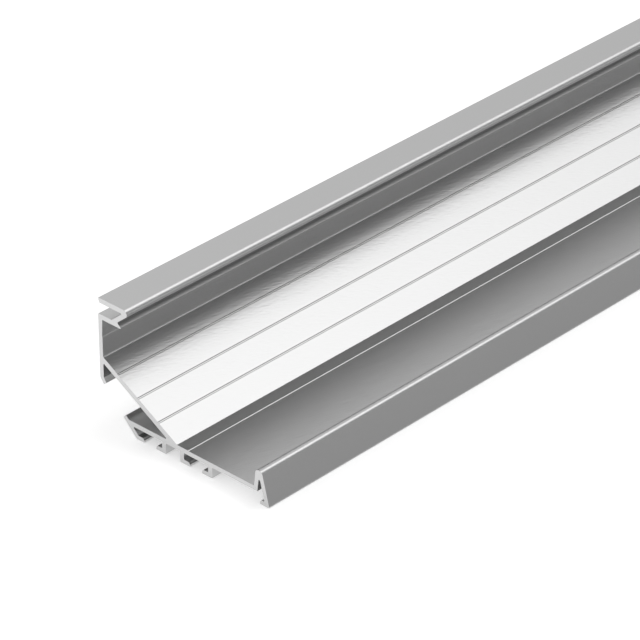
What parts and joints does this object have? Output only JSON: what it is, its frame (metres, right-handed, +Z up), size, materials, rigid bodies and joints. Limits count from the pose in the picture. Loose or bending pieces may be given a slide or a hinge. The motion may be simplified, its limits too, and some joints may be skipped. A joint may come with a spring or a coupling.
{
  "type": "led strip profile",
  "caption": "Extruded aluminium LED strip profile: slanted strip deck, back wall with slotted top rail, base with clip channels and a low hollow front wall.",
  "frame": {"origin": "centre of the length and of the depth of the section, at the level of the feet", "axes": "+Y along the length of the stock, +Z up from the feet to the top flange, +X from the back wall to the front wall"},
  "size_m": [0.0645, 1, 0.04],
  "materials": {
    "anodised_aluminium": "satin"
  },
  "bodies": {
    "root": {"profile": "anodised_aluminium"}
  },
  "joints": []
}
